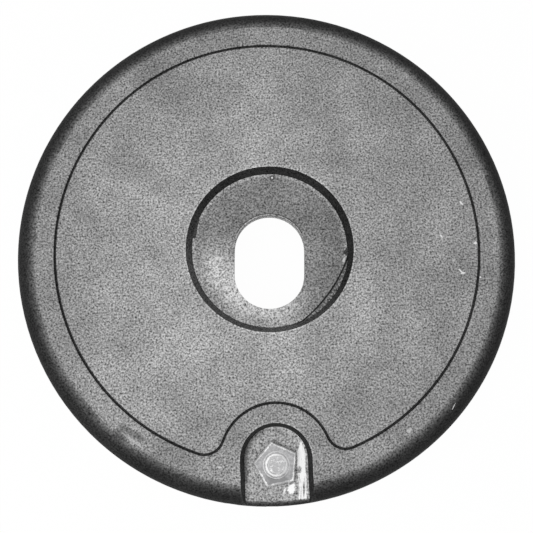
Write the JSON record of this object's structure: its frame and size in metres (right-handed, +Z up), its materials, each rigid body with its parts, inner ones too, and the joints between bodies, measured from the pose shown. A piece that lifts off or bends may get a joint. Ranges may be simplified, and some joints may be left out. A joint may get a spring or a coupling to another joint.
{
  "type": "meter box cover",
  "caption": "Round polymer water meter box cover with a recessed antenna pocket, an obround antenna hole, ribbed underside and a pentagon-headed worm lock in a rim notch",
  "frame": {"origin": "centre of the cover's outside diameter, in the plane of the skirt's bottom edge on which the cover stands", "axes": "+Z up through the top face; the lock notch opens toward -Y; +X to the right when the cover is read from the lock side"},
  "size_m": [0.2954, 0.2954, 0.044],
  "materials": {
    "cover_polymer": "moulded black polyolefin with a fine grain, scuffed and slightly cloudy",
    "lock_bronze": "cast bronze, dulled grey by weather",
    "washer_steel": "plain stainless steel",
    "pin_steel": "drawn stainless steel wire"
  },
  "bodies": {
    "cover": {"cover": "cover_polymer"},
    "lock": {"lock_bolt": "lock_bronze", "thrust_washer": "washer_steel", "worm": "lock_bronze", "end_washer": "washer_steel", "split_pin": "pin_steel"}
  },
  "joints": [
    {"name": "lock_turn", "type": "hinge", "parent": "cover", "child": "lock", "pos_m": [0, -0.1238, 0.03], "axis": [0, 0, 1], "continuous": true}
  ]
}
